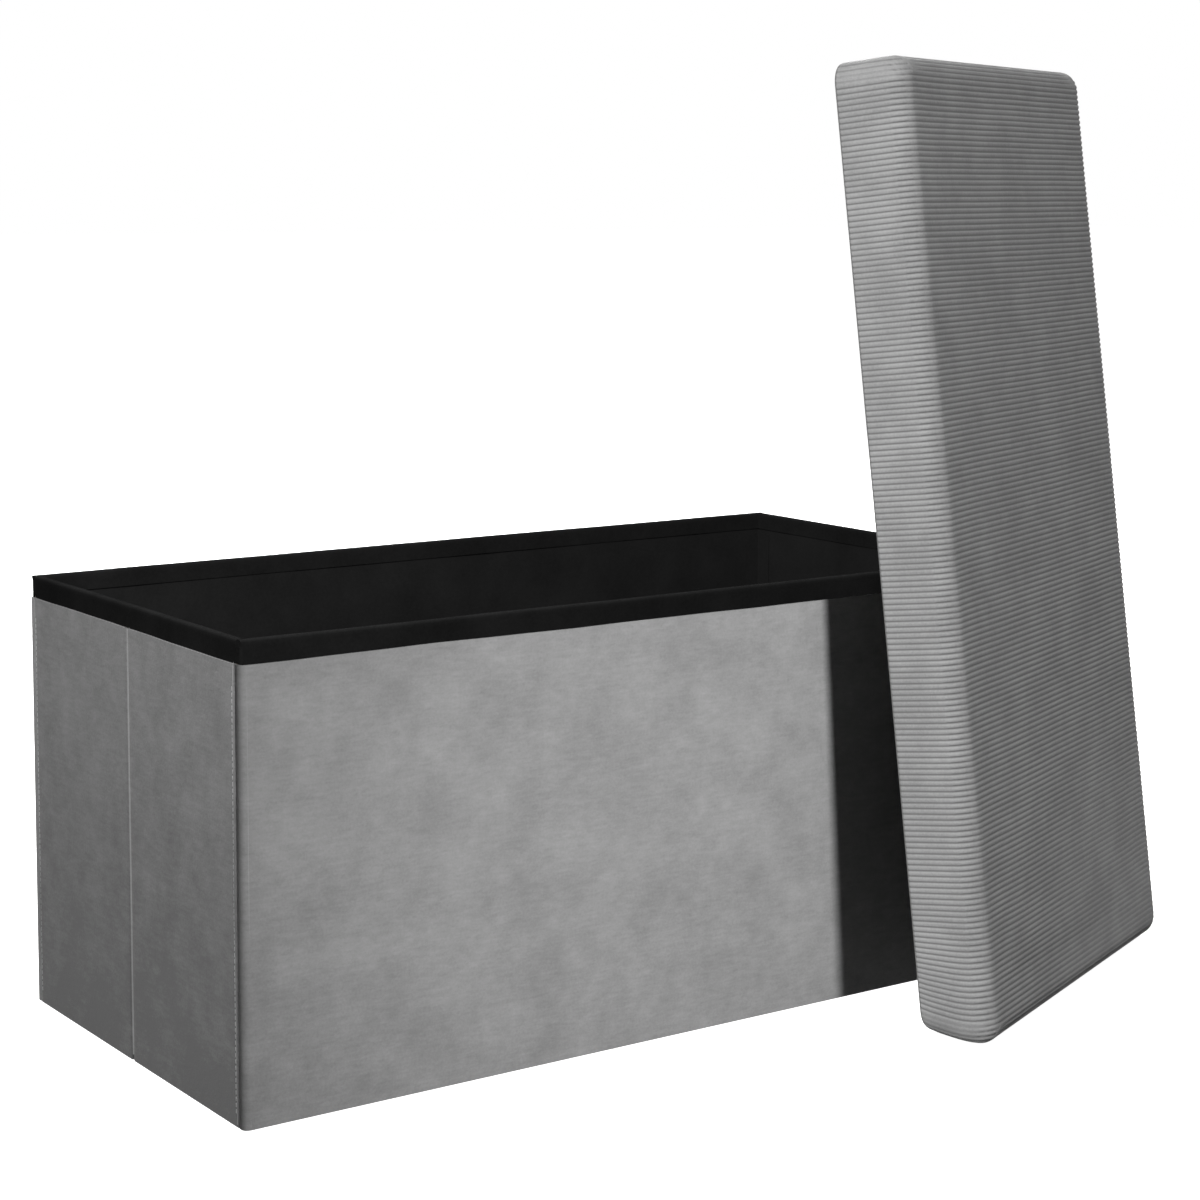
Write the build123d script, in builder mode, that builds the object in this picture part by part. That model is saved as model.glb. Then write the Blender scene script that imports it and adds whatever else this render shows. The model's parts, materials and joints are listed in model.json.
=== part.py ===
from build123d import *
import os
from math import cos, radians, sin

# Folding storage bench: a velvet covered box whose two ends fold inwards at
# mid-depth, and a loose padded lid that stands on its short end beside the
# box and leans on the box's front right corner.
# Millimetres, +Z up. Origin: middle of the box's footprint, on the floor.
# The long front wall faces -Y, the short ends face -X and +X.

# ---------------------------------------------------------------- dimensions
BOX_LENGTH = 760.0        # over the velvet, along X
BOX_DEPTH = 374.0         # over the velvet, along Y
VELVET_TOP = 338.0        # the velvet ends here and the black rim begins
RIM_TOP = 356.0           # top of the bound rim

VELVET = 2.5              # velvet with its thin padding
BOARD = 5.0               # stiff wall board
LINING = 0.8              # black non-woven lining
WALL = VELVET + BOARD + LINING
BINDING = 0.9             # non-woven binding folded over the wall boards
BINDING_INSIDE = 15.0     # how far the binding comes down inside the box
CORNER_ROUND = 5.0        # upright corners of the velvet
BINDING_ROUND = 3.0       # upright corners of the rim

BASE_BOARD = 3.9          # bottom board
BASE_LINING = 0.6         # lining glued on the bottom board
BASE_INSET = 2.8          # the bottom board stays behind the velvet
RUNNING_GAP = 0.3         # air under the walls that fold over the bottom

HINGE_GAP = 0.4           # air beside each upright fabric hinge
FOLD_GAP = 0.2            # half the slot between the two halves of an end
FOLD_STRIP_REACH = 3.0    # velvet strip over the fold, each side of it
FOLD_STRIP = 0.8          # its thickness, let into the two covers
TAPE_REACH = 18.0         # corner tape, each leg
TAPE = 0.4                # its thickness

LID_LENGTH = 776.0        # over the corduroy
LID_WIDTH = 384.0
LID_HEIGHT = 60.0
CORDUROY = 1.5            # thickness of the corduroy cover
SKIRT = 2.5               # thin boards standing round the lid's underside
LID_RECESS = 17.6         # depth of the lid's hollow underside
LID_LINING = 0.8
LID_BOARD = 5.0
LID_CORNER = 14.0         # lid corners seen from above
LID_EDGE = 13.0           # rounding of the padded top edge
LID_HEM_EDGE = 1.4        # rounding of the lower edge
HEM = 13.0                # cover turned up inside the skirt

LID_YAW = radians(23.9)   # the lid's width direction, turned from +X
LID_LEAN = radians(6.7)   # how far the standing lid leans to the box
LEAN_GAP = 1.0            # air between the rim corner and the lid's hollow
LEAN_ACROSS = 257.0       # rim corner, measured across the lid from its left

# ---------------------------------------------------------- derived lengths
HALF_X = BOX_LENGTH / 2
HALF_Y = BOX_DEPTH / 2
WALL_FOOT = BASE_BOARD + BASE_LINING + RUNNING_GAP
BOARD_TOP = RIM_TOP - BINDING
BINDING_FOOT_IN = RIM_TOP - BINDING_INSIDE
RIM_INSET = VELVET - BINDING
END_REACH = HALF_Y - WALL - HINGE_GAP


def block(x_span, y_span, z_span, mode=Mode.ADD):
    """Add or cut an upright block between three pairs of coordinates."""
    x_low, x_high = sorted(x_span)
    y_low, y_high = sorted(y_span)
    z_low, z_high = sorted(z_span)
    with BuildSketch(Plane.XY.offset(z_low)) as outline:
        with Locations(((x_low + x_high) / 2, (y_low + y_high) / 2)):
            Rectangle(x_high - x_low, y_high - y_low)
    extrude(outline.sketch, amount=z_high - z_low, mode=mode)


def finish(builder, name):
    """Name one finished piece and write it to its own file."""
    builder.part.label = name
    export_step(builder.part, f"parts/{name}.step")


os.makedirs("parts", exist_ok=True)

# ------------------------------------------------------------------- bottom
with BuildPart() as base_board:
    block(
        (-HALF_X + BASE_INSET, HALF_X - BASE_INSET),
        (-HALF_Y + BASE_INSET, HALF_Y - BASE_INSET),
        (0, BASE_BOARD),
    )
    fillet(base_board.edges().filter_by(Axis.Z), BINDING_ROUND)
finish(base_board, "base_board")

with BuildPart() as base_lining:
    block(
        (-HALF_X + WALL, HALF_X - WALL),
        (-HALF_Y + WALL, HALF_Y - WALL),
        (BASE_BOARD, BASE_BOARD + BASE_LINING),
    )
finish(base_lining, "base_lining")


# --------------------------------------------------------------- long walls
def long_wall(name, side, cover_foot, board_foot):
    """Board, velvet, lining and binding of the wall on one side of Y."""
    outside = side * HALF_Y
    rim_face = outside - side * RIM_INSET
    board_face = outside - side * VELVET
    lining_face = outside - side * (VELVET + BOARD)
    inside = outside - side * WALL
    board_end = HALF_X - VELVET
    rim_end = HALF_X - RIM_INSET
    board_x = (-board_end, board_end)

    with BuildPart() as board:
        block(board_x, (board_face, lining_face), (board_foot, BOARD_TOP))
    finish(board, f"{name}_board")

    # the velvet wraps both ends of the board
    with BuildPart() as velvet:
        block((-HALF_X, HALF_X), (outside, inside), (cover_foot, VELVET_TOP))
        corners = velvet.edges().filter_by(Axis.Z)
        fillet(corners.group_by(Axis.Y)[-1 if side > 0 else 0], CORNER_ROUND)
        block(board_x, (board_face, inside), (0, VELVET_TOP), Mode.SUBTRACT)
    finish(velvet, f"{name}_velvet")

    with BuildPart() as lining:
        block(board_x, (lining_face, inside), (WALL_FOOT, BINDING_FOOT_IN))
    finish(lining, f"{name}_lining")

    # the binding is a channel turned over the board's top edge and ends
    with BuildPart() as binding:
        block((-rim_end, rim_end), (rim_face, inside), (VELVET_TOP, RIM_TOP))
        corners = binding.edges().filter_by(Axis.Z)
        fillet(corners.group_by(Axis.Y)[-1 if side > 0 else 0], BINDING_ROUND)
        block(board_x, (board_face, lining_face), (0, BOARD_TOP), Mode.SUBTRACT)
        block(
            board_x, (lining_face, inside), (0, BINDING_FOOT_IN), Mode.SUBTRACT
        )
    finish(binding, f"{name}_binding")


long_wall("rear", 1, 0.0, BASE_BOARD)
long_wall("front", -1, WALL_FOOT, WALL_FOOT)


# ------------------------------------------------------- folding end halves
def end_half(name, end, side):
    """One half of an end: end is -1 left or 1 right, side 1 rear, -1 front."""
    outside = end * HALF_X
    rim_face = outside - end * RIM_INSET
    board_face = outside - end * VELVET
    lining_face = outside - end * (VELVET + BOARD)
    inside = outside - end * WALL
    span = (side * FOLD_GAP, side * END_REACH)

    with BuildPart() as board:
        block((board_face, lining_face), span, (WALL_FOOT, BOARD_TOP))
    finish(board, f"{name}_board")

    with BuildPart() as velvet:
        block((outside, board_face), span, (WALL_FOOT, VELVET_TOP))
        # shallow step that takes the strip sewn over the fold
        block(
            (outside, outside - end * FOLD_STRIP),
            (0, side * FOLD_STRIP_REACH),
            (0, VELVET_TOP),
            Mode.SUBTRACT,
        )
    finish(velvet, f"{name}_velvet")

    with BuildPart() as lining:
        block((lining_face, inside), span, (WALL_FOOT, BINDING_FOOT_IN))
    finish(lining, f"{name}_lining")

    with BuildPart() as binding:
        block((rim_face, inside), span, (VELVET_TOP, RIM_TOP))
        block((board_face, lining_face), span, (0, BOARD_TOP), Mode.SUBTRACT)
        block((lining_face, inside), span, (0, BINDING_FOOT_IN), Mode.SUBTRACT)
    finish(binding, f"{name}_binding")


ENDS = {"left": -1, "right": 1}
SIDES = {"rear": 1, "front": -1}
for end_name, end_sign in ENDS.items():
    for side_name, side_sign in SIDES.items():
        end_half(f"{end_name}_{side_name}", end_sign, side_sign)

# ------------------------------------------------------------ fabric hinges
for end_name, end_sign in ENDS.items():
    # velvet strip sewn over the fold in the middle of each end
    face = end_sign * HALF_X
    with BuildPart() as strip:
        block(
            (face, face - end_sign * FOLD_STRIP),
            (-FOLD_STRIP_REACH, FOLD_STRIP_REACH),
            (WALL_FOOT, VELVET_TOP),
        )
    finish(strip, f"{end_name}_fold_strip")

    # tape glued into each inside corner, where a half turns on a long wall
    for side_name, side_sign in SIDES.items():
        corner_x = end_sign * (HALF_X - WALL)
        corner_y = side_sign * (HALF_Y - WALL)
        with BuildPart() as tape:
            block(
                (corner_x, corner_x - end_sign * TAPE_REACH),
                (corner_y, corner_y - side_sign * TAPE),
                (WALL_FOOT, BINDING_FOOT_IN),
            )
            block(
                (corner_x, corner_x - end_sign * TAPE),
                (corner_y, corner_y - side_sign * TAPE_REACH),
                (WALL_FOOT, BINDING_FOOT_IN),
            )
        finish(tape, f"{side_name}_{end_name}_tape")

# ---------------------------------------------------------------------- lid
# Lid directions: ALONG its length (nearly up), ACROSS its width and OUT of
# its padded face, away from the box.
ACROSS = Vector(cos(LID_YAW), sin(LID_YAW), 0)
LEVEL_OUT = Vector(sin(LID_YAW), -cos(LID_YAW), 0)
ALONG = Vector(0, 0, 1) * cos(LID_LEAN) - LEVEL_OUT * sin(LID_LEAN)
OUT = LEVEL_OUT * cos(LID_LEAN) + Vector(0, 0, 1) * sin(LID_LEAN)

# The front right corner of the rim stands just inside the lid's hollow.
rim_corner = Vector(HALF_X - RIM_INSET, -HALF_Y + RIM_INSET, RIM_TOP)
corner_depth = LID_RECESS - LEAN_GAP
# the rounded lower edge of the lid rests on the floor
foot_rise = LID_HEM_EDGE * (cos(LID_LEAN) + sin(LID_LEAN) - 1)
corner_along = (
    RIM_TOP + foot_rise - corner_depth * sin(LID_LEAN)
) / cos(LID_LEAN)
lid_foot = (
    rim_corner
    - ALONG * corner_along
    - ACROSS * LEAN_ACROSS
    - OUT * corner_depth
)
lid_middle = lid_foot + ALONG * (LID_LENGTH / 2) + ACROSS * (LID_WIDTH / 2)
LID_AXIS = Axis(lid_middle, OUT)

# sizes of nested outlines, from the corduroy inwards
core_length = LID_LENGTH - 2 * CORDUROY
core_width = LID_WIDTH - 2 * CORDUROY
skirt_in_length = core_length - 2 * SKIRT
skirt_in_width = core_width - 2 * SKIRT
hollow_length = skirt_in_length - 2 * CORDUROY
hollow_width = skirt_in_width - 2 * CORDUROY
core_corner = LID_CORNER - CORDUROY
skirt_corner = core_corner - SKIRT
hollow_corner = skirt_corner - CORDUROY
board_low = LID_RECESS + LID_LINING
board_high = board_low + LID_BOARD
core_high = LID_HEIGHT - CORDUROY


def lid_level(height):
    """Plane across the lid at a height above its lower edge."""
    return Plane(lid_middle + OUT * height, x_dir=ALONG, z_dir=OUT)


def lid_slab(length, width, corner, low, high, mode=Mode.ADD):
    """Rounded rectangle centred on the lid, between two heights."""
    with BuildSketch(lid_level(low)) as outline:
        RectangleRounded(length, width, corner)
    extrude(outline.sketch, amount=high - low, mode=mode)


# everything the cover is drawn over, as one envelope
with BuildPart() as lid_core:
    lid_slab(core_length, core_width, core_corner, CORDUROY, core_high)
    top_face = lid_core.faces().sort_by(LID_AXIS)[-1]
    fillet(top_face.edges(), LID_EDGE - CORDUROY)

with BuildPart() as lid_cover:
    lid_slab(LID_LENGTH, LID_WIDTH, LID_CORNER, 0, LID_HEIGHT)
    top_face = lid_cover.faces().sort_by(LID_AXIS)[-1]
    fillet(top_face.edges(), LID_EDGE)
    low_face = lid_cover.faces().sort_by(LID_AXIS)[0]
    fillet(low_face.edges(), LID_HEM_EDGE)
    add(lid_core.part, mode=Mode.SUBTRACT)
    lid_slab(
        skirt_in_length, skirt_in_width, skirt_corner, CORDUROY, HEM
    )
    lid_slab(
        hollow_length, hollow_width, hollow_corner, -1, HEM, Mode.SUBTRACT
    )
finish(lid_cover, "lid_corduroy_cover")

with BuildPart() as lid_board:
    lid_slab(core_length, core_width, core_corner, board_low, board_high)
finish(lid_board, "lid_board")

with BuildPart() as lid_foam:
    lid_slab(core_length, core_width, core_corner, board_high, core_high)
    top_face = lid_foam.faces().sort_by(LID_AXIS)[-1]
    fillet(top_face.edges(), LID_EDGE - CORDUROY)
finish(lid_foam, "lid_foam")

with BuildPart() as lid_lining:
    lid_slab(
        skirt_in_length, skirt_in_width, skirt_corner, LID_RECESS, board_low
    )
finish(lid_lining, "lid_recess_lining")

# Skirt boards stand under the edge of the lid board. The long pair run the
# full length and carry the rounded corners, the short pair fit between.
short_span = core_width - 2 * core_corner
for skirt_name, run, cross in (
    ("foot", -1, 0),
    ("head", 1, 0),
    ("left", 0, 1),
    ("right", 0, -1),
):
    with BuildPart() as skirt:
        lid_slab(core_length, core_width, core_corner, CORDUROY, board_low)
        lid_slab(
            skirt_in_length,
            skirt_in_width,
            skirt_corner,
            0,
            board_low,
            Mode.SUBTRACT,
        )
        with BuildSketch(lid_level(0)):
            if run:
                with Locations((run * core_length / 2, 0)):
                    Rectangle(4 * core_corner, short_span)
            else:
                with Locations((0, cross * (core_width / 2))):
                    Rectangle(core_length, 2 * core_corner)
        extrude(amount=board_low, mode=Mode.INTERSECT)
    finish(skirt, f"lid_{skirt_name}_skirt")
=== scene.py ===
# %% [markdown]
# # A folding storage bench with its lid leaning on one corner
# The bench is a box of thin boards covered in velvet. Its rim is bound in black
# non-woven, its two short ends fold inwards, and its lid is a foam pad in ribbed
# corduroy. The imported CAD model is the frame: every piece made here sits where
# the CAD says, and all but the fold seams and the corner tapes between two bodies
# ride on one of its bodies.

# %% Load the frame
import bpy
import json
import math
import numpy as np
from mathutils import Matrix, Vector

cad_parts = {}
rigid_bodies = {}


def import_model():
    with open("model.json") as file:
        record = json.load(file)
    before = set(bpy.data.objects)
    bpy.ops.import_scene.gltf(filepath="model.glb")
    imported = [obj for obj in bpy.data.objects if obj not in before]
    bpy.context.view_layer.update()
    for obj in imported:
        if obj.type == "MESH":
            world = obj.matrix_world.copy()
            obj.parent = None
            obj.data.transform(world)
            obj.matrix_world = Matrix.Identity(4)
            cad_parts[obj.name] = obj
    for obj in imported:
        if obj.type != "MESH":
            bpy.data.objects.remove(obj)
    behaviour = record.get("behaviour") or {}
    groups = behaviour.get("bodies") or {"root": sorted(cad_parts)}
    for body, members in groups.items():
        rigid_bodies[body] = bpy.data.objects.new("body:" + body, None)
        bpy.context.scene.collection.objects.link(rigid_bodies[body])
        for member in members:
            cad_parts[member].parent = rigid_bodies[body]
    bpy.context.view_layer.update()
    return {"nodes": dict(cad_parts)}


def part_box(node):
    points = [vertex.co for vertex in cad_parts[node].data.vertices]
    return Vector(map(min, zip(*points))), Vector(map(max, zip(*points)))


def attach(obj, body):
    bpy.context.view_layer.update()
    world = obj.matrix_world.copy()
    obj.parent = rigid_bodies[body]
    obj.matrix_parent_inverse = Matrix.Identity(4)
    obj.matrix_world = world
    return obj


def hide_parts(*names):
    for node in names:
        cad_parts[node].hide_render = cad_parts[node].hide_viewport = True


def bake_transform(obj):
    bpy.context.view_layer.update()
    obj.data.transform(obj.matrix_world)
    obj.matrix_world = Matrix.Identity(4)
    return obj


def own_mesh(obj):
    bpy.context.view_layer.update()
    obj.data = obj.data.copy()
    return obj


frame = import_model()

# %% [markdown]
# ## Measures
# Blender works in metres and a furniture maker in millimetres, so one constant
# turns one into the other. The wall make-up is the same as in the CAD: velvet on
# its padding, board, lining.

# %% Measures of the box
MM = 0.001
velvet_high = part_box("rear_velvet")[1]
rim_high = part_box("rear_binding")[1]
HALF_LENGTH = velvet_high.x
HALF_DEPTH = velvet_high.y
VELVET_TOP = velvet_high.z
RIM_TOP = rim_high.z
PADDING = 2.5 * MM
BOARD = 5.0 * MM
WALL = 8.3 * MM
RIM_INSET = 1.6 * MM
HEM_ABOVE_FLOOR = 0.4 * MM
HINGE_GAP = 0.4 * MM
END_REACH = HALF_DEPTH - WALL - HINGE_GAP
print("box", round(HALF_LENGTH * 2, 3), "x", round(HALF_DEPTH * 2, 3), "m")
print("velvet top", round(VELVET_TOP, 3), "rim top", round(RIM_TOP, 3), "m")

# %% [markdown]
# ## Small helpers for modelling by hand
# Operators act on whatever is selected, and loading the frame leaves its nodes
# selected. So each new piece starts with nothing selected, and vertices are then
# picked by where they are.


# %% Start, pick and settle
def start_piece():
    """Nothing selected, so the next primitive stands alone."""
    bpy.ops.object.select_all(action="DESELECT")


def pick(piece, test):
    """Open the piece for editing with only the vertices that pass test."""
    if bpy.context.mode != "OBJECT":
        bpy.ops.object.mode_set(mode="OBJECT")
    mesh = piece.data
    chosen = [bool(test(v.co)) for v in mesh.vertices]
    mesh.polygons.foreach_set("select", [False] * len(mesh.polygons))
    mesh.edges.foreach_set("select", [False] * len(mesh.edges))
    mesh.vertices.foreach_set("select", chosen)
    bpy.context.tool_settings.mesh_select_mode = (True, False, False)
    bpy.ops.object.mode_set(mode="EDIT")
    return sum(chosen)


def pull_edge(piece, test, steps):
    """Extrude the picked border through a list of moves."""
    pick(piece, test)
    for move in steps:
        bpy.ops.mesh.extrude_edges_move(TRANSFORM_OT_translate={"value": move})
    bpy.ops.object.mode_set(mode="OBJECT")


def round_edge(piece, test, radius, segments):
    """Bevel the edges between the picked vertices."""
    pick(piece, test)
    bpy.ops.mesh.bevel(offset=radius, segments=segments, affect="EDGES")
    bpy.ops.object.mode_set(mode="OBJECT")


def modify(piece, kind, **settings):
    """Add a modifier with its settings and apply it."""
    modifier = piece.modifiers.new(kind.title(), kind)
    for key, value in settings.items():
        setattr(modifier, key, value)
    bpy.ops.object.modifier_apply(modifier=modifier.name)


def settle(piece):
    """Put the piece's place into its mesh."""
    bpy.ops.object.transform_apply(location=True, rotation=True, scale=True)
    return piece


def face_outwards(piece):
    """Turn all faces of a closed piece outwards."""
    bpy.ops.object.mode_set(mode="EDIT")
    bpy.ops.mesh.select_all(action="SELECT")
    bpy.ops.mesh.normals_make_consistent(inside=False)
    bpy.ops.object.mode_set(mode="OBJECT")


def near(value, target):
    """Within a tenth of a millimetre."""
    return abs(value - target) < 0.1 * MM


print("loaded from the CAD:", len(frame["nodes"]), "nodes")


# %% [markdown]
# ## Vertex moves for cloth
# A stretched cloth is never quite flat and its edge is never quite straight.
# A few slow waves of different lengths, added together, give that without any
# random numbers, so the bench comes out the same each time.


# %% Slow waves and a hand that moves vertices
def waves(along, up, seed):
    """A smooth irregular height between about -1 and 1."""
    return (
        np.sin(along / 0.083 + seed)
        + np.sin(along / 0.031 + up / 0.055 + 2.1 * seed)
        + np.sin(up / 0.072 - along / 0.047 + 0.7 * seed)
        + 0.6 * np.sin(along / 0.0135 + up / 0.024 + 1.3 * seed)
    ) / 3.6


def coordinates(piece):
    flat = np.empty(len(piece.data.vertices) * 3)
    piece.data.vertices.foreach_get("co", flat)
    return flat.reshape(-1, 3)


def move_to(piece, places):
    piece.data.vertices.foreach_set("co", np.ascontiguousarray(places).ravel())
    piece.data.update()


def point_normals(piece):
    flat = np.empty(len(piece.data.vertices) * 3)
    piece.data.vertices.foreach_get("normal", flat)
    return flat.reshape(-1, 3)


def ease(value, low, high):
    """0 below low, 1 above high, smooth between."""
    t = np.clip((value - low) / (high - low), 0, 1)
    return t * t * (3 - 2 * t)


print("wave at the middle of a wall:", round(float(waves(0.0, 0.2, 0.0)), 3))


# %% [markdown]
# ## Materials: one helper, then one recipe per finish
# A node material is a small graph. The helper adds one node, sets its sockets
# and links its inputs. Colours are written as sRGB hex and turned to the linear
# numbers that the shader needs.


# %% Node helper and colour helper
def linear(hex_colour):
    """sRGB hex to the linear numbers of a colour socket."""
    channels = [int(hex_colour[i : i + 2], 16) / 255 for i in (0, 2, 4)]
    turned = [c / 12.92 if c <= 0.04045 else ((c + 0.055) / 1.055) ** 2.4 for c in channels]
    return (*turned, 1.0)


def add_node(tree, kind, inputs=None, output=0, **settings):
    """Add a node and return one of its outputs. Each input, by name or place,
    is either a number to set or another node's output to link."""
    made = tree.nodes.new("ShaderNode" + kind)
    for key, value in settings.items():
        setattr(made, key, value)
    for key, value in (inputs or {}).items():
        if isinstance(value, bpy.types.NodeSocket):
            tree.links.new(value, made.inputs[key])
        else:
            made.inputs[key].default_value = value
    return made.outputs[output] if made.outputs else None


def new_material(name):
    """An empty node material, with the object's own coordinates to start from."""
    material = bpy.data.materials.new(name)
    material.use_nodes = True
    tree = material.node_tree
    tree.nodes.clear()
    return material, tree, add_node(tree, "TexCoord", output="Object")


def sum_of(tree, tone, layers):
    """Add up patterns; each layer is a pattern, its darkest and lightest value,
    and its share of the whole tone."""
    for pattern, low, high, share in layers:
        part = add_node(tree, "MapRange", {0: pattern, 1: low, 2: high, 4: share})
        tone = add_node(tree, "Math", {0: part, 1: tone}, operation="ADD")
    return tone


print("mid grey 808080 in linear light:", round(linear("808080")[0], 3))

# %% [markdown]
# ### Velvet
# Polyester velvet: a knitted back with a 1 mm pile cut level. Hands and folding
# leave patches where the pile lies another way, 10 to 60 mm across, and each
# patch catches the light a little differently. The knitted back shows through as
# fine level streaks and the pile as a fine grain. Each panel's colour is darkened
# towards the bottom: painted shade. The end panels are given a darker copy of the
# velvet than the long panels: painted shade too.

# %% Velvet
PATCH = 42 * MM
STREAK = 3.4 * MM
STREAK_STRETCH = 0.22
NAP = 2.1 * MM


def velvet(name, dark, light, painted_low_shade):
    material, tree, place = new_material(name)
    height = add_node(tree, "SeparateXYZ", {0: place}, "Z")
    level = STREAK_STRETCH / STREAK
    drawn_out = add_node(tree, "Mapping", {"Vector": place, "Scale": (level, level, 1 / STREAK)})
    patches, streaks, nap = (
        add_node(
            tree,
            "TexNoise",
            {"Vector": where, "Scale": scale, "Detail": detail, "Roughness": rough},
        )
        for where, scale, detail, rough in (
            (place, 1 / PATCH, 6.0, 0.66),
            (drawn_out, 1.0, 3.0, 0.65),
            (place, 1 / NAP, 2.0, 0.7),
        )
    )
    # painted shade: the colour darkens from 0.26 m down to 0.02 m above the floor
    pressed = add_node(tree, "MapRange", {0: height, 1: 0.02, 2: 0.26, 3: -painted_low_shade, 4: 0.0})
    layers = [(patches, 0.32, 0.68, 0.46), (streaks, 0.3, 0.7, 0.26), (nap, 0.25, 0.75, 0.28)]
    tone = sum_of(tree, pressed, layers)
    colour = add_node(
        tree, "Mix", {0: tone, 6: linear(dark), 7: linear(light)}, 2, data_type="RGBA"
    )
    surface = add_node(tree, "Bump", {"Height": patches, "Distance": 1.2 * MM, "Strength": 0.35})
    for pattern, deep, strength in ((streaks, 0.5, 0.35), (nap, 0.25, 0.5)):
        surface = add_node(
            tree,
            "Bump",
            {"Height": pattern, "Distance": deep * MM, "Strength": strength, "Normal": surface},
        )
    shader = add_node(
        tree,
        "BsdfPrincipled",
        {
            "Base Color": colour,
            "Normal": surface,
            "Roughness": 0.88,
            "Specular IOR Level": 0.25,
            "Sheen Weight": 0.18,
            "Sheen Roughness": 0.45,
        },
    )
    add_node(tree, "OutputMaterial", {"Surface": shader})
    return material


velvet_long = velvet("velvet_long_walls", "707070", "929292", 0.16)
# the end panels' copy is darker all over: painted shade
velvet_painted_shade = velvet("velvet_folding_ends_painted_shade", "575757", "858585", 0.52)
# a lighter copy for the fold seams and edge beads: painted highlight
velvet_painted_highlight = velvet("velvet_edge_painted_highlight", "808080", "9a9a9a", 0.2)
print("velvet nodes:", len(velvet_long.node_tree.nodes))

# %% [markdown]
# ### Corduroy
# Corduroy is velvet woven in ribs. The ribs are real geometry on this lid. The
# material darkens the valleys, partly for the ground weave that shows there and
# partly as painted shade in the grooves, and adds the fine cross grain of the
# pile. The rib height is stored on the mesh as an attribute, because the pattern
# has to follow the cloth round the edges.

# %% Corduroy
PILE_GRAIN = 1.9 * MM


def corduroy(name, valley_weave_and_shade, dark, light):
    material, tree, place = new_material(name)
    rib = add_node(tree, "Attribute", output="Fac", attribute_name="rib_height")
    wear = add_node(
        tree,
        "TexNoise",
        {"Vector": place, "Scale": 1 / PATCH, "Detail": 4.0, "Roughness": 0.6},
    )
    fibres = add_node(
        tree,
        "TexNoise",
        {"Vector": place, "Scale": 1 / PILE_GRAIN, "Detail": 3.0, "Roughness": 0.65},
    )
    tone = sum_of(tree, 0.0, [(wear, 0.35, 0.65, 0.55), (fibres, 0.3, 0.7, 0.45)])
    pile_colour = add_node(
        tree, "Mix", {0: tone, 6: linear(dark), 7: linear(light)}, 2, data_type="RGBA"
    )
    on_rib = add_node(tree, "MapRange", {0: rib, 1: 0.0, 2: 0.75})
    # valley colour: the ground weave, darkened further as painted shade in the grooves
    colour = add_node(
        tree, "Mix", {0: on_rib, 6: linear(valley_weave_and_shade), 7: pile_colour}, 2, data_type="RGBA"
    )
    pile = add_node(tree, "Bump", {"Height": fibres, "Distance": 0.2 * MM, "Strength": 0.5})
    shader = add_node(
        tree,
        "BsdfPrincipled",
        {
            "Base Color": colour,
            "Normal": pile,
            "Roughness": 0.9,
            "Specular IOR Level": 0.2,
            "Sheen Weight": 0.12,
            "Sheen Roughness": 0.5,
        },
    )
    add_node(tree, "OutputMaterial", {"Surface": shader})
    return material


lid_corduroy = corduroy("corduroy_fine_rib", "666666", "8b8b8b", "a5a5a5")
print("corduroy nodes:", len(lid_corduroy.node_tree.nodes))

# %% [markdown]
# ### Black non-woven
# Spun-bonded polypropylene: loose fibres welded together by a hot roller that
# leaves a grid of small dots about 1.3 mm apart. It is almost black. The
# binding is dull all over, and the lining keeps a faint shine on its dots.

# %% Black non-woven
WELD_DOT = 1.3 * MM
WEB_FIBRE = 2.4 * MM
WEB_CLOUD = 60 * MM


def non_woven(name, dark, light, shine):
    material, tree, place = new_material(name)
    dots = add_node(
        tree,
        "TexVoronoi",
        {"Vector": place, "Scale": 1 / WELD_DOT, "Randomness": 0.15},
        "Distance",
    )
    fibres = add_node(
        tree,
        "TexNoise",
        {"Vector": place, "Scale": 1 / WEB_FIBRE, "Detail": 4.0, "Roughness": 0.7},
    )
    clouds = add_node(
        tree,
        "TexNoise",
        {"Vector": place, "Scale": 1 / WEB_CLOUD, "Detail": 3.0, "Roughness": 0.6},
    )
    tone = sum_of(tree, 0.0, [(clouds, 0.35, 0.65, 0.6), (fibres, 0.35, 0.65, 0.4)])
    colour = add_node(
        tree, "Mix", {0: tone, 6: linear(dark), 7: linear(light)}, 2, data_type="RGBA"
    )
    pressed = add_node(tree, "MapRange", {0: dots, 1: 0.1, 2: 0.4})
    welded = add_node(tree, "Bump", {"Height": pressed, "Distance": 0.12 * MM, "Strength": 0.4})
    surface = add_node(
        tree,
        "Bump",
        {"Height": fibres, "Distance": 0.2 * MM, "Strength": 0.4, "Normal": welded},
    )
    shader = add_node(
        tree,
        "BsdfPrincipled",
        {"Base Color": colour, "Normal": surface, "Roughness": 0.85, "Specular IOR Level": shine},
    )
    add_node(tree, "OutputMaterial", {"Surface": shader})
    return material


black_binding = non_woven("non_woven_binding", "171717", "212121", 0.0)
black_lining = non_woven("non_woven_lining", "0a0a0a", "191919", 0.25)
print("non-woven nodes:", len(black_lining.node_tree.nodes))

# %% [markdown]
# ### Fibreboard, thread and steel
# The boards are pressed wood fibre: brown, flecked, slightly shiny where the
# press has smoothed them. Their flecks lie flat, so they are drawn shorter in
# height than in length. Thread and staples are so small that a fine grain in
# colour and relief is all that the eye can find on them.

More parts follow.
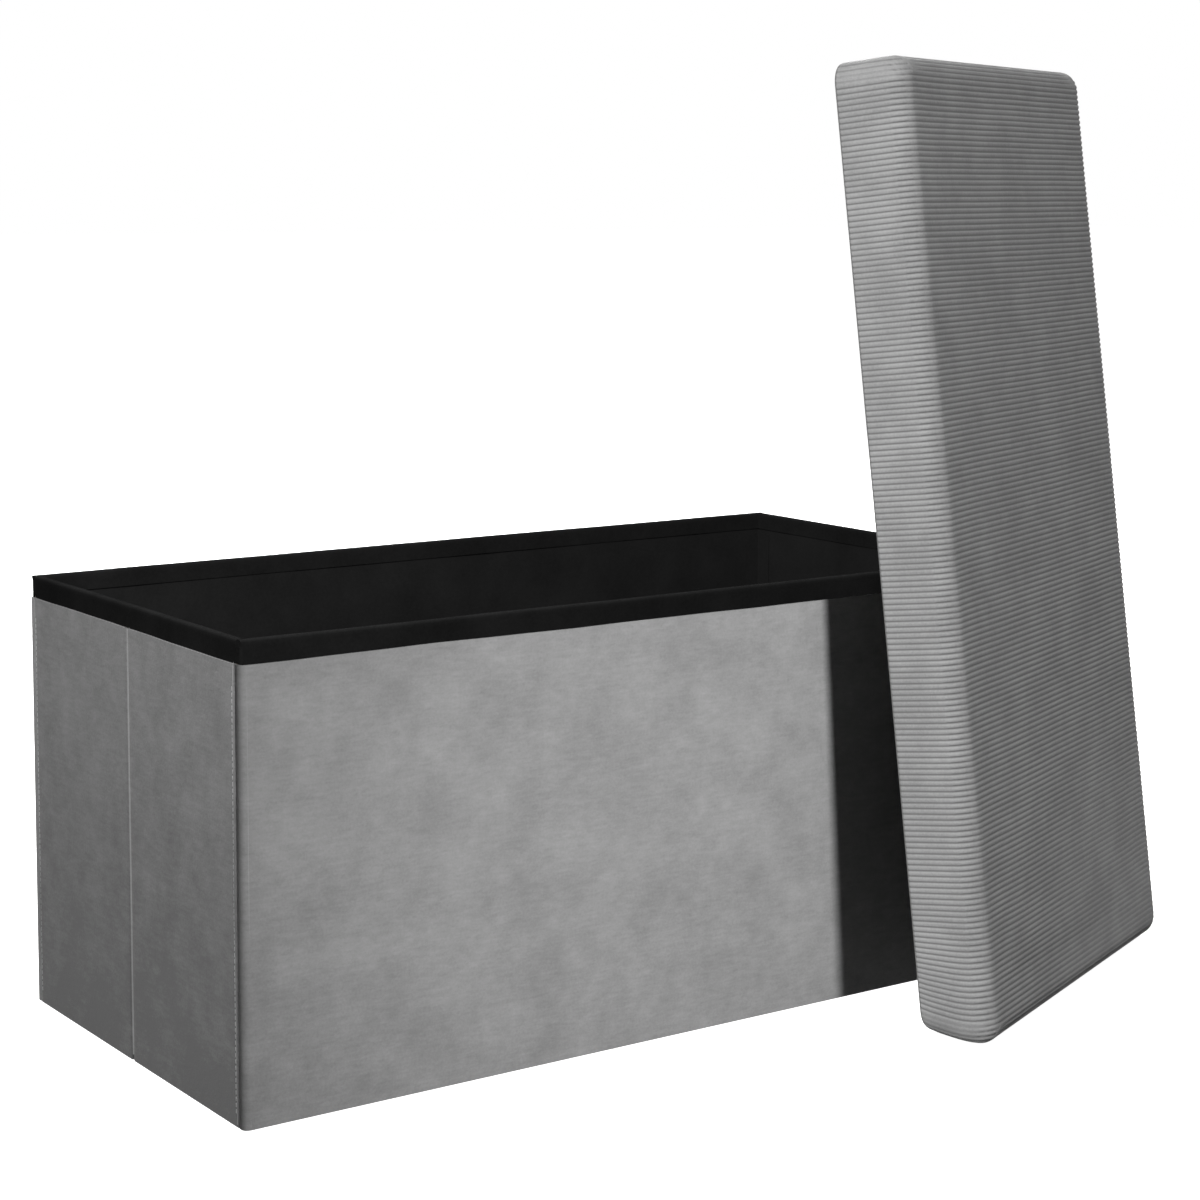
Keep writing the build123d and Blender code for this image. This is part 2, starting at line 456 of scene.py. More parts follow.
# %% The other finishes
def plain_finish(name, dark, light, grain, flat, rough, metal=0.0):
    """A grain of one size, drawn out or pressed flat in height."""
    material, tree, place = new_material(name)
    drawn = add_node(
        tree,
        "Mapping",
        {"Vector": place, "Scale": (1 / grain, 1 / grain, flat / grain)},
    )
    pattern = add_node(
        tree,
        "TexNoise",
        {"Vector": drawn, "Scale": 1.0, "Detail": 3.0, "Roughness": 0.65},
    )
    colour = add_node(
        tree,
        "Mix",
        {0: pattern, 6: linear(dark), 7: linear(light)},
        2,
        data_type="RGBA",
    )
    surface = add_node(tree, "Bump", {"Height": pattern, "Distance": 0.08 * MM, "Strength": 0.4})
    shader = add_node(
        tree,
        "BsdfPrincipled",
        {"Base Color": colour, "Normal": surface, "Roughness": rough, "Metallic": metal},
    )
    add_node(tree, "OutputMaterial", {"Surface": shader})
    return material


wall_board = plain_finish("fibreboard_raw", "5d4a36", "8a7152", 1.8 * MM, 0.4, 0.62)
seam_thread = plain_finish("polyester_thread", "9c9c9c", "b4b4b4", 0.4 * MM, 1, 0.6)
staple_steel = plain_finish("galvanised_steel_wire", "8d8f91", "b9bbbd", 0.8 * MM, 1, 0.35, 1.0)
print("materials so far:", len(bpy.data.materials))


# %% [markdown]
# ## Finishing a piece
# Every piece ends the same way: it gets a name, one material, smooth shading
# with sharp edges kept, and the body it rides on, where it has one.

# %% Dress a piece
def dress(piece, material, body, name, angle=40):
    """Name, material, smooth shading, slot and body of one finished piece."""
    piece.name = name
    piece.data.name = name
    piece.data.materials.clear()
    piece.data.materials.append(material)
    bpy.ops.object.shade_smooth_by_angle(angle=math.radians(angle))
    if body:
        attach(piece, body)
    print(name, len(piece.data.polygons), "faces")
    return piece


print("materials to dress with:", sorted(m.name for m in bpy.data.materials))


# %% [markdown]
# ## Sheets that stand against a wall
# Velvet, binding and lining are all sheets on a flat board. Each starts as a
# grid standing in the plane y = 0 and facing -Y, which is how the front wall
# faces. Its borders are pulled inwards with extrusions, and it is then turned
# and carried to its wall. So one recipe makes all six walls.

# %% The six walls, and how each one is turned
LEFT, RIGHT = math.radians(-90), math.radians(90)
# its turn, the foot it is carried to, its body, and its span along itself
WALLS = {
    "front": (0.0, (0, -HALF_DEPTH), "front_wall", (-HALF_LENGTH, HALF_LENGTH)),
    "rear": (math.pi, (0, HALF_DEPTH), "carcass", (-HALF_LENGTH, HALF_LENGTH)),
    "left_rear": (LEFT, (-HALF_LENGTH, 0), "left_rear_half", (-END_REACH, 0)),
    "left_front": (LEFT, (-HALF_LENGTH, 0), "left_front_half", (0, END_REACH)),
    "right_front": (RIGHT, (HALF_LENGTH, 0), "right_front_half", (-END_REACH, 0)),
    "right_rear": (RIGHT, (HALF_LENGTH, 0), "right_rear_half", (0, END_REACH)),
}


def standing_sheet(span, low, high, columns, rows):
    """A grid in the plane y = 0 that faces -Y."""
    start_piece()
    bpy.ops.mesh.primitive_grid_add(
        x_subdivisions=columns,
        y_subdivisions=rows,
        size=1,
        location=((span[0] + span[1]) / 2, 0, (low + high) / 2),
        rotation=(math.radians(90), 0, 0),
    )
    sheet = bpy.context.object
    sheet.scale = (span[1] - span[0], high - low, 1)
    return settle(sheet)


def carry_to_wall(sheet, wall):
    turn, foot = WALLS[wall][:2]
    sheet.rotation_euler = (0, 0, turn)
    sheet.location = (*foot, 0)
    return settle(sheet)


print("walls", ", ".join(WALLS))


# %% [markdown]
# ## The velvet covers
# The two long covers wrap round the ends of their boards, so their upright
# corners are round. The four end covers stop at the corner seam and at the
# fold, where their edges are turned in. The top is turned in under the rim. The
# hem hangs just over the edge of the bottom board.

# %% Velvet covers
CORNER_ROUND = 5.0 * MM
EDGE_ROUND = 1.8 * MM
TOP_TURN = 1.5 * MM
CLOTH = 1.3 * MM
FOLD_EDGE = 0.9 * MM
ON_FACE = 0.3 * MM
SWELL = 0.35 * MM
TOP_WAVE = 0.55 * MM
TOP_LIFT = 0.3 * MM
WAVE_FROM = 0.31


def velvet_cover(wall, seed):
    _, _, body, (start, end) = WALLS[wall]
    long_wall = wall in ("front", "rear")
    if not long_wall:
        inner = 0 if start == 0 else end
        start += FOLD_EDGE if inner == start else 0
        end -= FOLD_EDGE if inner == end else 0
    columns = 96 if long_wall else 30
    cover = standing_sheet((start, end), HEM_ABOVE_FLOOR, VELVET_TOP, columns, 48)
    depth = WALL - 0.2 * MM if long_wall else PADDING - 0.2 * MM
    edge = CORNER_ROUND if long_wall else EDGE_ROUND
    pull_edge(cover, lambda co: near(co.x, start) or near(co.x, end), [(0, depth, 0)])
    round_edge(cover, lambda co: near(co.y, 0) and (near(co.x, start) or near(co.x, end)), edge, 5)
    pull_edge(cover, lambda co: near(co.z, VELVET_TOP), [(0, 0, 0)])
    places = coordinates(cover)
    top = places[:, 2] > VELVET_TOP - 0.1 * MM
    turned = np.zeros(len(places), bool)
    turned[-(top.sum() // 2) :] = True
    middle = np.array([(start + end) / 2, (WALL if long_wall else PADDING), 0])
    inward = middle - places
    inward[:, 2] = 0
    reach = np.where(places[:, 1] < ON_FACE, 0, 1)
    inward[:, 0] = np.sign(inward[:, 0]) * reach * TOP_TURN
    inward[:, 1] = np.where(reach == 0, TOP_TURN, 0)
    places[turned] += inward[turned]
    # cloth on padding: slow swells, a wavy top edge, and a soft roll at each end
    puff = SWELL * waves(places[:, 0], places[:, 2], seed)
    level = ease(places[:, 2], 0.0, 0.03) * (1 - turned)
    on_face = places[:, 1] < ON_FACE
    places[:, 1] -= puff * level * on_face
    lift = TOP_WAVE * waves(places[:, 0], 0 * places[:, 2], seed + 4) + TOP_LIFT
    places[:, 2] += lift * ease(places[:, 2], WAVE_FROM, VELVET_TOP)
    move_to(cover, places)
    modify(cover, "SOLIDIFY", thickness=CLOTH, offset=-1)
    carry_to_wall(cover, wall)
    # the end covers take the darker copy of the velvet: painted shade
    material = velvet_long if long_wall else velvet_painted_shade
    dress(cover, material, body, f"{wall}_velvet_cover")
    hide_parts(f"{wall}_velvet")
    return cover


covers = {wall: velvet_cover(wall, 1.7 * i) for i, wall in enumerate(WALLS)}

# %% [markdown]
# ## The bound rim
# A strip of black non-woven is folded over the top of each wall: down behind
# the velvet outside, and 15 mm down inside. The fold is soft, so its two long
# edges are rounded by nearly two millimetres.

# %% Rim bindings
BIND_BEHIND = 6 * MM
BIND_INSIDE = 15 * MM
BIND_ROUND = 1.9 * MM
BIND_CORNER = 2.4 * MM
BIND_THICK = 0.5 * MM
BIND_SWELL = 0.18 * MM
BIND_WAVE = 0.22 * MM


def rim_binding(wall, seed):
    _, _, body, (start, end) = WALLS[wall]
    long_wall = wall in ("front", "rear")
    inset = RIM_INSET if long_wall else 0.1 * MM
    start, end = start + inset, end - inset
    top = RIM_TOP - 0.15 * MM
    strip = standing_sheet((start, end), VELVET_TOP - BIND_BEHIND, top, 120 if long_wall else 30, 6)
    places = coordinates(strip)
    places[:, 1] += RIM_INSET
    move_to(strip, places)
    across = WALL - RIM_INSET
    pull_edge(strip, lambda co: near(co.z, top), [(0, across, 0)] + [(0, 0, -BIND_INSIDE / 3)] * 3)
    round_edge(strip, lambda co: near(co.z, top), BIND_ROUND, 4)
    for border in (start, end):
        pick(strip, lambda co: near(co.x, border))
        bpy.ops.mesh.edge_face_add()
        bpy.ops.object.mode_set(mode="OBJECT")
    if long_wall:
        round_edge(
            strip,
            lambda co: (near(co.x, start) or near(co.x, end))
            and near(co.y, RIM_INSET),
            BIND_CORNER,
            5,
        )
    places = coordinates(strip)
    soft = waves(places[:, 0], places[:, 2], seed)
    places[:, 1] += BIND_SWELL * soft
    places[:, 2] += BIND_WAVE * soft * ease(places[:, 2], 0.345, RIM_TOP)
    move_to(strip, places)
    modify(strip, "SOLIDIFY", thickness=BIND_THICK, offset=-1)
    carry_to_wall(strip, wall)
    dress(strip, black_binding, body, f"{wall}_rim")
    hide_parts(f"{wall}_binding")


for i, wall in enumerate(WALLS):
    rim_binding(wall, 2.3 * i)

# %% [markdown]
# ## The lining
# Each wall is lined with the same non-woven, glued to the board, and so is the
# bottom. Glued cloth lies flat but for small blisters. On the folding ends it
# also turns round the board's upright edges. It covers the one at the fold. At
# the corner it ends a tenth of a millimetre inside the board, so a strip of
# bare board shows there once the bench is folded.

# %% Wall linings
LINING_LOW = 5.0 * MM
LINING_FACE = WALL - 0.55 * MM
LINING_THICK = 0.3 * MM
BLISTER = 0.14 * MM
bottom_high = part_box("base_lining")[1]


def wall_lining(wall, seed):
    _, _, body, (start, end) = WALLS[wall]
    long_wall = wall in ("front", "rear")
    inset = PADDING + 0.5 * MM if long_wall else 0.1 * MM
    start, end = start + inset, end - inset
    lining = standing_sheet(
        (start, end),
        bottom_high.z if wall == "rear" else LINING_LOW,
        RIM_TOP - BIND_INSIDE + 4 * MM,
        90 if long_wall else 24,
        44,
    )
    places = coordinates(lining)
    blister = waves(places[:, 0] * 1.7, places[:, 2] * 1.7, seed + 9)
    places[:, 1] = LINING_FACE + BLISTER * blister
    move_to(lining, places)
    if not long_wall:
        round_board = (0, PADDING + 0.1 * MM - LINING_FACE, 0)
        for border in (start, end):
            pull_edge(lining, lambda co: near(co.x, border), [round_board])
    modify(lining, "SOLIDIFY", thickness=LINING_THICK, offset=1)
    face_outwards(lining)
    carry_to_wall(lining, wall)
    dress(lining, black_lining, body, f"{wall}_wall_lining")
    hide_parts(f"{wall}_lining")


for i, wall in enumerate(WALLS):
    wall_lining(wall, 1.1 * i)

# %% Bottom lining, wrapped over the edge of the bottom board
WRAP_DOWN = 3.6 * MM
SLACK = 0.12 * MM
base_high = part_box("base_board")[1]
reach_x, reach_y = base_high.x + LINING_THICK, base_high.y + LINING_THICK
start_piece()
bpy.ops.mesh.primitive_grid_add(
    x_subdivisions=90, y_subdivisions=44, size=1, location=(0, 0, bottom_high.z)
)
bottom = bpy.context.object
bottom.scale = (2 * reach_x, 2 * reach_y, 1)
settle(bottom)
bottom_places = coordinates(bottom)
loose = 1 + waves(bottom_places[:, 0], bottom_places[:, 1], 3.0)
bottom_places[:, 2] -= SLACK * loose
move_to(bottom, bottom_places)
pull_edge(
    bottom,
    lambda co: near(abs(co.x), reach_x) or near(abs(co.y), reach_y),
    [(0, 0, -WRAP_DOWN)],
)
modify(bottom, "SOLIDIFY", thickness=LINING_THICK, offset=-1)
dress(bottom, black_lining, "carcass", "bottom_lining")
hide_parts("base_lining")

# %% [markdown]
# ## Seams and fabric hinges
# In the middle of each end the velvet is pinched into a thin upright seam that
# is the fold. It rides on neither half's body. At each corner a black tape
# joins the linings; a tape that joins two bodies rides on neither of them.

# %% The pinched seam over each fold
SEAM_WIDE = 1.1 * MM
SEAM_SUNK = 0.9 * MM
SEAM_PROUD = 0.15 * MM
SEAM_THICK = 0.5 * MM


def fold_seam(end, turn, side):
    """A slim rounded ridge over the slot between the two halves of an end."""
    seam = standing_sheet((-SEAM_WIDE, SEAM_WIDE), LINING_LOW, VELVET_TOP, 6, 60)
    places = coordinates(seam)
    arch = np.cos(places[:, 0] / SEAM_WIDE * math.pi / 2)
    fading = ease(-places[:, 2], -VELVET_TOP + 0.01, -VELVET_TOP + 0.07)
    proud = SEAM_PROUD * (2 * fading - 1)
    places[:, 1] = SEAM_SUNK - (SEAM_SUNK + proud) * arch
    places[:, 0] += 0.25 * MM * waves(places[:, 2] * 1.5, 0, 1.0)
    places[:, 2] -= 0.5 * MM * ease(places[:, 2], 0.33, VELVET_TOP)
    move_to(seam, places)
    modify(seam, "SOLIDIFY", thickness=SEAM_THICK, offset=-1)
    x = side * HALF_LENGTH
    seam.rotation_euler = (0, 0, turn)
    seam.location = (x, 0, 0)
    settle(seam)
    # the seam is drawn in the lighter velvet: painted highlight
    dress(seam, velvet_painted_highlight, None, f"{end}_fold_seam", 60)
    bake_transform(seam)
    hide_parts(f"{end}_fold_strip")


fold_seam("left", LEFT, -1)
fold_seam("right", RIGHT, 1)

# %% [markdown]
# Each corner tape is a flat strip whose border is extruded round the corner. The
# linkage is opened at the front right corner, so the tape there has one leg only
# and rides on the front wall.

# %% Corner tapes
TAPE_LEG = 17 * MM
TAPE_LENGTH = 330 * MM
TAPE_MIDDLE = 172 * MM
TAPE_OFF_WALL = 0.1 * MM


def corner_tape(side, end_name, joined):
    """Two legs of tape in one inside corner; joined names its two bodies."""
    sx = -1 if end_name == "left" else 1
    sy = 1 if side == "rear" else -1
    x, y = sx * (HALF_LENGTH - WALL), sy * (HALF_DEPTH - WALL)
    start_piece()
    bpy.ops.mesh.primitive_grid_add(
        x_subdivisions=8,
        y_subdivisions=40,
        size=1,
        rotation=(math.radians(90), 0, 0),
        location=(x - sx * TAPE_LEG / 2, y - sy * TAPE_OFF_WALL, TAPE_MIDDLE),
    )
    tape = bpy.context.object
    tape.scale = (TAPE_LEG, TAPE_LENGTH, 1)
    settle(tape)
    if len(joined) == 2:
        leg = -sy * TAPE_LEG / 6
        edge = max if sx > 0 else min
        border = edge(v.co.x for v in tape.data.vertices)
        pull_edge(tape, lambda co: near(co.x, border), [(0, leg, 0)] * 6)
    face_outwards(tape)
    modify(tape, "SOLIDIFY", thickness=LINING_THICK, offset=0)
    face_outwards(tape)
    name = f"{side}_{end_name}_corner_tape"
    body = joined[0] if len(joined) == 1 else None
    dress(tape, black_lining, body, name)
    if len(joined) == 2:
        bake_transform(tape)
    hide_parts(f"{side}_{end_name}_tape")


corner_tape("rear", "left", ("carcass", "left_rear_half"))
corner_tape("rear", "right", ("carcass", "right_rear_half"))
corner_tape("front", "left", ("front_wall", "left_front_half"))
corner_tape("front", "right", ("front_wall",))

# %% [markdown]
# ## Lighter edges and stitches
# Next to each corner seam the velvet is top-stitched, and the edge there is drawn
# lighter: a painted highlight. A slim bead of lighter velvet with a run of
# stitches beside it gives both.

# %% Edge beads with stitches
BEAD_WIDE = 1.1 * MM
BEAD_SUNK = 0.3 * MM
BEAD_THICK = 0.4 * MM
BEAD_FROM_END = 2.2 * MM
STITCH_FROM_BEAD = 1.6 * MM
STITCH_LOW = 12 * MM
STITCH_LONG = 3.2 * MM
STITCH_STEP = 4.6 * MM
STITCH_THICK = 0.55 * MM


def edge_bead(wall, s, out, name):
    """A slim upright bead at s along a wall, out from its face."""
    body = WALLS[wall][2]
    bead = standing_sheet(
        (s - BEAD_WIDE / 2, s + BEAD_WIDE / 2),
        HEM_ABOVE_FLOOR + 2 * MM,
        VELVET_TOP - 1.2 * MM,
        5,
        80,
    )
    places = coordinates(bead)
    arch = np.cos((places[:, 0] - s) / BEAD_WIDE * math.pi)
    places[:, 1] = BEAD_SUNK - (BEAD_SUNK + out) * arch
    places[:, 0] += 0.2 * MM * waves(places[:, 2] * 2, 0, s * 50)
    move_to(bead, places)
    modify(bead, "SOLIDIFY", thickness=BEAD_THICK, offset=-1)
    carry_to_wall(bead, wall)
    # the bead is drawn in the lighter velvet: painted highlight
    return dress(bead, velvet_painted_highlight, body, name, 60)


def stitch_run(wall, s, out, name):
    """One stitch, rounded at both ends, repeated up the seam."""
    body = WALLS[wall][2]
    start_piece()
    bpy.ops.mesh.primitive_cylinder_add(
        vertices=8,
        radius=STITCH_THICK / 2,
        depth=STITCH_LONG,
        location=(s, -out, STITCH_LOW),
    )
    stitch = settle(bpy.context.object)
    round_edge(stitch, lambda co: True, 0.18 * MM, 2)
    count = int((VELVET_TOP - STITCH_LOW - 10 * MM) / STITCH_STEP)
    modify(
        stitch,
        "ARRAY",
        count=count,
        use_relative_offset=False,
        use_constant_offset=True,
        constant_offset_displace=(0, 0, STITCH_STEP),
    )
    carry_to_wall(stitch, wall)
    return dress(stitch, seam_thread, body, name, 60)


# %% [markdown]
# The beads and stitches stand at the box's four upright corners. Every cover
# that moves is listed on the way.

# %% Beads and stitches at the corners
moving_velvet = [cover for wall, cover in covers.items() if wall != "rear"]
for half, inner in (("left_front", 1), ("left_rear", -1), ("right_front", -1), ("right_rear", 1)):
    at = inner * (END_REACH - BEAD_FROM_END)
    moving_velvet.append(edge_bead(half, at, 0.25 * MM, f"{half}_edge_bead"))
    at -= inner * STITCH_FROM_BEAD
    stitch_run(half, at, 0.1 * MM, f"{half}_stitches")

front_beads = []
for wall in ("front", "rear"):
    for side, name in ((-1, "left"), (1, "right")):
        at = side * (HALF_LENGTH - CORNER_ROUND - 0.4 * MM)
        bead = edge_bead(wall, at, 0.05 * MM, f"{wall}_{name}_edge_bead")
        if wall == "front":
            front_beads.append(bead)
moving_velvet += front_beads
print("velvet pieces that move:", len(moving_velvet))

# %% [markdown]
# ## The lid's own frame
# The lid is modelled flat, as it would lie on a bench: X along it from foot to
# head, Z out of its padded face, and its underside at z = 0. One matrix then
# stands it up against the box, with the same turn and lean as in the CAD.

# %% How the lid stands
LID_YAW = math.radians(23.9)
LID_LEAN = math.radians(6.7)
LID_LENGTH, LID_WIDTH, LID_HEIGHT = 776 * MM, 384 * MM, 60 * MM
LID_EDGE = 17 * MM
LID_CORNER = 18 * MM
HOLLOW = 17.6 * MM
BOARD_MIDDLE = 20.9 * MM

level_out = Vector((math.sin(LID_YAW), -math.cos(LID_YAW), 0))
across = Vector((math.cos(LID_YAW), math.sin(LID_YAW), 0))
along = Vector((0, 0, 1)) * math.cos(LID_LEAN) - level_out * math.sin(LID_LEAN)
out = level_out * math.cos(LID_LEAN) + Vector((0, 0, 1)) * math.sin(LID_LEAN)
board_low, board_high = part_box("lid_board")
lid_middle = (board_low + board_high) / 2 - out * BOARD_MIDDLE
stand_up = Matrix((along, -across, out)).transposed().to_4x4()
stand_up.translation = lid_middle
print("lid middle", [round(v, 3) for v in lid_middle])


def stand_lid_piece(piece):
    piece.matrix_world = stand_up
    return settle(piece)


TUCK = 8 * MM
TUCK_DEEP = 38 * MM
FLARE = 6 * MM
PINCH = 5 * MM
STRETCH = 2 * MM


def ease_out_of_true(places):
    """A soft lid is never quite a box: its right side flares towards the foot
    and pinches in at the head, its foot bellies out, and its own weight pushes
    the left foot corner up."""
    x, y, z = places[:, 0], places[:, 1], places[:, 2]
    low = np.clip(1 - z / TUCK_DEEP, 0, 1) ** 2
    left = ease(y, LID_WIDTH / 2 - 75 * MM, LID_WIDTH / 2 - 5 * MM)
    foot = ease(-x, LID_LENGTH / 2 - 110 * MM, LID_LENGTH / 2)
    right = ease(-y, 0, LID_WIDTH / 2)
    upper = ease(z, 15 * MM, 45 * MM)
    belly = ease(-x, 0.25, LID_LENGTH / 2) * upper
    moved = places.copy()
    moved[:, 0] += TUCK * low * left * foot - STRETCH * belly
    moved[:, 1] -= FLARE * right * ease(-x, -0.1, LID_LENGTH / 2)
    moved[:, 1] += PINCH * right * ease(x, -0.05, LID_LENGTH / 2)
    return moved


# %% [markdown]
# ## The foam pad under the corduroy
# A foam pad in a tight cover is fullest in the middle and pulled down at its
# edges. The pad starts as a rounded block a little smaller than the cover. It
# is remeshed into even faces and blown up gently by a cloth simulation, with
# its lower part held, as the board and skirt hold it. No point may move more
# than a few millimetres, because the real foam is dense.

# %% Foam pad by cloth simulation
PAD_TOP = LID_HEIGHT - 3.4 * MM
PAD_LOW = 2 * MM
PAD_HELD = 24 * MM
PAD_SWELL = 4.2 * MM
PAD_SHY = 1.5 * MM
PAD_FACE = 6 * MM
PAD_PRESSURE = 4.0
LAST_FRAME = 20


def foam_pad():
    start_piece()
    bpy.ops.mesh.primitive_cube_add(size=1, location=(0, 0, (PAD_TOP + PAD_LOW) / 2))
    pad = bpy.context.object
    pad.scale = (LID_LENGTH - 2 * PAD_SHY, LID_WIDTH - 2 * PAD_SHY, PAD_TOP - PAD_LOW)
    settle(pad)
    round_edge(pad, lambda co: True, LID_EDGE - PAD_SHY, 5)
    pad.data.remesh_voxel_size = PAD_FACE
    bpy.ops.object.voxel_remesh()
    rest = coordinates(pad)
    held = pad.vertex_groups.new(name="held")
    for vertex in pad.data.vertices:
        if vertex.co.z < PAD_HELD:
            held.add([vertex.index], 1.0, "REPLACE")
    cloth = pad.modifiers.new("Cloth", "CLOTH")
    cloth.settings.use_pressure = True
    cloth.settings.uniform_pressure_force = PAD_PRESSURE
    cloth.settings.effector_weights.gravity = 0
    cloth.settings.vertex_group_mass = "held"
    cloth.point_cache.frame_start = 1
    cloth.point_cache.frame_end = LAST_FRAME
    for step in range(1, LAST_FRAME + 1):
        bpy.context.scene.frame_set(step)
    bpy.ops.object.modifier_apply(modifier="Cloth")
    bpy.context.scene.frame_set(1)
    moved = coordinates(pad) - rest
    length = np.linalg.norm(moved, axis=1, keepdims=True)
    limit = PAD_SWELL * length / (length + PAD_SWELL)
    moved *= np.where(length > 1e-9, limit / np.maximum(length, 1e-9), 0)
    print("largest swell", round(float(limit.max()) * 1000, 2), "mm")
    move_to(pad, rest + moved)
    modify(pad, "SMOOTH", factor=0.6, iterations=6)
    return pad


pad = foam_pad()
print("pad", len(pad.data.vertices), "points")

# %% [markdown]
# ## The corduroy cover
# The cover starts as a flat grid over the pad's level top, with four rows of
# points to each rib. Its corners are rounded, and its border is then pulled out
# and down in many small steps: over the edge, down the side, under the skirt and
# up inside it. The steps down the short ends are a third of a rib apart, so
# there too the ribs are real. The four board strips of the skirt are shut inside
# the cover, so the cover stands for them too.

# %% Cover: the grid and its pulled border
RIBS_ON_TOP = 165
FLAT_LENGTH = LID_LENGTH - 2 * LID_EDGE
FLAT_WIDTH = LID_WIDTH - 2 * LID_EDGE
RIB_PITCH = FLAT_LENGTH / RIBS_ON_TOP
RING = RIB_PITCH / 3
HEM_ROUND = 1.4 * MM
HEM_INSIDE = 5.5 * MM
FAN = LID_CORNER - LID_EDGE
CORNER_STEPS = 18
SIDE_END = LID_HEIGHT - HEM_ROUND
print("rib pitch", round(RIB_PITCH * 1000, 3), "mm")


def border_path():
    """(outward reach, height, cloth length) of each ring of the border."""
    arc = LID_EDGE * math.pi / 2
    rings = []
    length = 0.0
    while length + RING < arc + SIDE_END - LID_EDGE:
        length += RING
        if length < arc:
            angle = length / LID_EDGE
            reach = LID_EDGE * math.sin(angle)
            height = LID_HEIGHT - LID_EDGE * (1 - math.cos(angle))
        else:
            reach = LID_EDGE
            height = LID_HEIGHT - LID_EDGE - (length - arc)
        rings.append((reach, height, length))
    for angle in (math.radians(a) for a in (20, 55, 90)):
        reach = LID_EDGE - HEM_ROUND * (1 - math.cos(angle))
        height = HEM_ROUND * (1 - math.sin(angle))
        rings.append((reach, height, length + HEM_ROUND * angle))
    inner = LID_EDGE - HEM_INSIDE
    for reach, height in (
        (inner + 0.7 * MM, 0.0),
        (inner, 0.7 * MM),
        (inner, 7 * MM),
        (inner, 13 * MM),
        (inner, HOLLOW + 0.4 * MM),
    ):
        length += 3 * MM
        rings.append((reach, height, length))
    return rings


start_piece()
bpy.ops.mesh.primitive_grid_add(x_subdivisions=RIBS_ON_TOP * 4, y_subdivisions=24, size=1)
lid_cover = bpy.context.object
lid_cover.scale = (FLAT_LENGTH, FLAT_WIDTH, 1)
settle(lid_cover)
pick(lid_cover, lambda co: near(abs(co.x), FLAT_LENGTH / 2) and near(abs(co.y), FLAT_WIDTH / 2))
bpy.ops.mesh.bevel(offset=FAN, segments=CORNER_STEPS, affect="VERTICES")
bpy.ops.mesh.select_all(action="SELECT")
bpy.ops.mesh.region_to_loop()
rings = border_path()
for _ in rings:
    bpy.ops.mesh.extrude_edges_move(TRANSFORM_OT_translate={"value": (0, 0, -0.01)})
bpy.ops.mesh.edge_face_add()
bpy.ops.object.mode_set(mode="OBJECT")
print("cover", len(lid_cover.data.vertices), "points in", len(rings), "rings")

# %% [markdown]
# Each ring of the border was moved down by the same step, so its depth tells
# which ring it is. That number gives each point its place over the edge, then
# the pad lifts it, and last the ribs are cut in along the point normals.

# %% Cover: shape, swell and ribs
places = coordinates(lid_cover)
ring_of = np.rint(-places[:, 2] / 0.01).astype(int)
reach_of = np.array([0.0] + [r[0] for r in rings])[ring_of]
height_of = np.array([LID_HEIGHT] + [r[1] for r in rings])[ring_of]
length_of = np.array([0.0] + [r[2] for r in rings])[ring_of]
inner_x, inner_y = FLAT_LENGTH / 2 - FAN, FLAT_WIDTH / 2 - FAN
step_x = places[:, 0] - np.clip(places[:, 0], -inner_x, inner_x)
step_y = places[:, 1] - np.clip(places[:, 1], -inner_y, inner_y)
size = np.maximum(np.hypot(step_x, step_y), 1e-9)
away = np.stack([step_x / size, step_y / size], axis=1)
away[ring_of == 0] = 0
shaped = places.copy()
shaped[:, 0] += away[:, 0] * reach_of
shaped[:, 1] += away[:, 1] * reach_of
shaped[:, 2] = height_of
move_to(lid_cover, shaped)
face_outwards(lid_cover)

# the cover is lifted wherever the swollen pad stands higher, but keeps its hem
outside = height_of > PAD_HELD
follow = lid_cover.vertex_groups.new(name="follow")
for index in np.nonzero(outside)[0]:
    follow.add([int(index)], 1.0, "REPLACE")
modify(
    lid_cover,
    "SHRINKWRAP",
    target=pad,
    wrap_method="NEAREST_SURFACEPOINT",
    wrap_mode="ABOVE_SURFACE",
    offset=0.8 * MM,
    vertex_group="follow",
)
crown = coordinates(lid_cover) - shaped
move_to(lid_cover, shaped)
rise = np.clip((crown * point_normals(lid_cover)).sum(axis=1), 0, PAD_SWELL)
rise *= ease(height_of, PAD_HELD, PAD_HELD + 12 * MM)
shaped += point_normals(lid_cover) * rise[:, None]
print("cover top", round(float(shaped[:, 2].max()), 4), "m")

# rib height: ribs run across the lid, and over its ends they are counted by
# the length of cloth; near a corner seam and where hands have brushed the foot
# of the face the pile is flatter
on_end = np.abs(away[:, 0]) > 0.97
travel = np.where(on_end, FLAT_LENGTH / 2 + length_of, np.abs(shaped[:, 0]))
turns = (travel + FLAT_LENGTH / 2) / RIB_PITCH
rib = np.abs(np.sin(np.pi * turns)) ** 0.75
from_seam = inner_y - np.abs(places[:, 1])
crushed = on_end * (1 - ease(from_seam, 0, 20 * MM))
brushed = 0.5 * ease(-places[:, 0], 0.12, 0.38) * ease(-places[:, 1], -0.15, 0.1)
flat_pile = np.maximum(crushed, brushed * (ring_of < 4))
rib = 1 - (1 - rib) * (1 - flat_pile)
hem = ease(height_of, 0.2 * MM, 2.5 * MM)
rib *= hem
wander = 0.35 * MM * waves(places[:, 1] * 0.8, places[:, 0] * 0.6, 5.0)
shaped[:, 0] += wander * (ring_of == 0)
move_to(lid_cover, shaped)
normals = point_normals(lid_cover)
RIB_HEIGHT = 0.85 * MM
on_edge = ease(LID_HEIGHT - height_of, 0, 3 * MM) * ease(height_of, 30 * MM, 50 * MM)
depth = RIB_HEIGHT * (1 + 0.5 * on_edge) * hem
shaped += normals * ((rib - 1) * depth)[:, None]
move_to(lid_cover, shaped)
